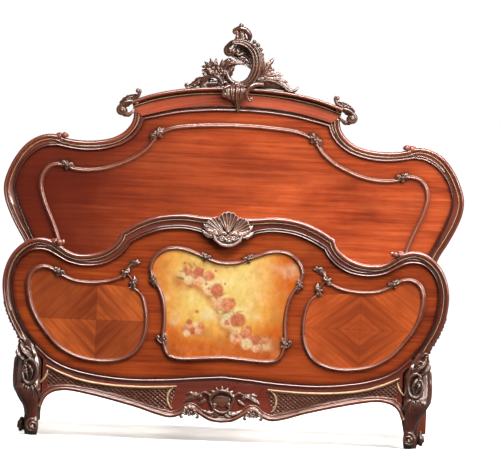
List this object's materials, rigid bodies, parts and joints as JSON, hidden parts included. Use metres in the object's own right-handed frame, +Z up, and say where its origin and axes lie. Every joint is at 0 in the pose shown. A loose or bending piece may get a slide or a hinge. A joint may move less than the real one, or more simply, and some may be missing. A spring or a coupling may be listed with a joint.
{
  "type": "panelled bed",
  "caption": "Panelled double bed with an arched, crested headboard, a lobed footboard on cabriole legs with a painted panel, side rails and a slatted base.",
  "frame": {"origin": "on the floor, under the centre of the overall box", "axes": "+X to the right seen from the foot, +Y from the foot towards the head, +Z up"},
  "size_m": [1.6902, 2.074, 1.484],
  "materials": {
    "mahogany_field": "polished",
    "mahogany_moulding": "polished",
    "carving": "waxed, darker in the hollows",
    "quartered_veneer": "polished, grain meeting in four quarters",
    "gilding": "worn gilt",
    "painting": "varnished oil painting",
    "pine": "planed, unfinished",
    "iron": "dull"
  },
  "bodies": {
    "root": {"footboard_panel": "mahogany_field", "footboard_top_rail": "mahogany_moulding", "footboard_left_stile": "mahogany_moulding", "footboard_right_stile": "mahogany_moulding", "footboard_lower_moulding": "mahogany_moulding", "footboard_apron": "mahogany_field", "apron_edge_bead": "mahogany_moulding", "apron_trellis": "carving", "apron_gilt_fillets": "gilding", "footboard_left_leg": "mahogany_moulding", "footboard_right_leg": "mahogany_moulding", "left_knee_carving": "carving", "right_knee_carving": "carving", "toe_volutes": "carving", "footboard_shell": "carving", "footboard_shoulder_scrolls": "carving", "apron_cartouche": "carving", "apron_rocailles": "carving", "painted_panel": "painting", "painted_panel_bead": "mahogany_moulding", "painted_panel_clasps": "carving", "left_kidney_veneers": "quartered_veneer", "right_kidney_veneers": "quartered_veneer", "left_kidney_bead": "mahogany_moulding", "right_kidney_bead": "mahogany_moulding", "kidney_clasps": "carving", "headboard_panel": "mahogany_field", "headboard_top_rail": "mahogany_moulding", "headboard_left_stile": "mahogany_moulding", "headboard_right_stile": "mahogany_moulding", "headboard_cornice": "mahogany_moulding", "headboard_left_post": "mahogany_moulding", "headboard_right_post": "mahogany_moulding", "headboard_bottom_rail": "mahogany_field", "headboard_bead": "mahogany_moulding", "headboard_clasps": "carving", "headboard_shoulder_scrolls": "carving", "cornice_left_scroll": "carving", "cornice_right_scroll": "carving", "headboard_crest": "carving", "left_side_rail": "mahogany_field", "right_side_rail": "mahogany_field", "left_rail_beads": "mahogany_moulding", "right_rail_beads": "mahogany_moulding", "left_ledger": "pine", "right_ledger": "pine", "slats": "pine", "ledger_screws": "iron", "footboard_back_rail": "pine", "centre_beam": "pine", "rail_brackets": "iron", "bracket_screws": "iron"}
  },
  "joints": []
}
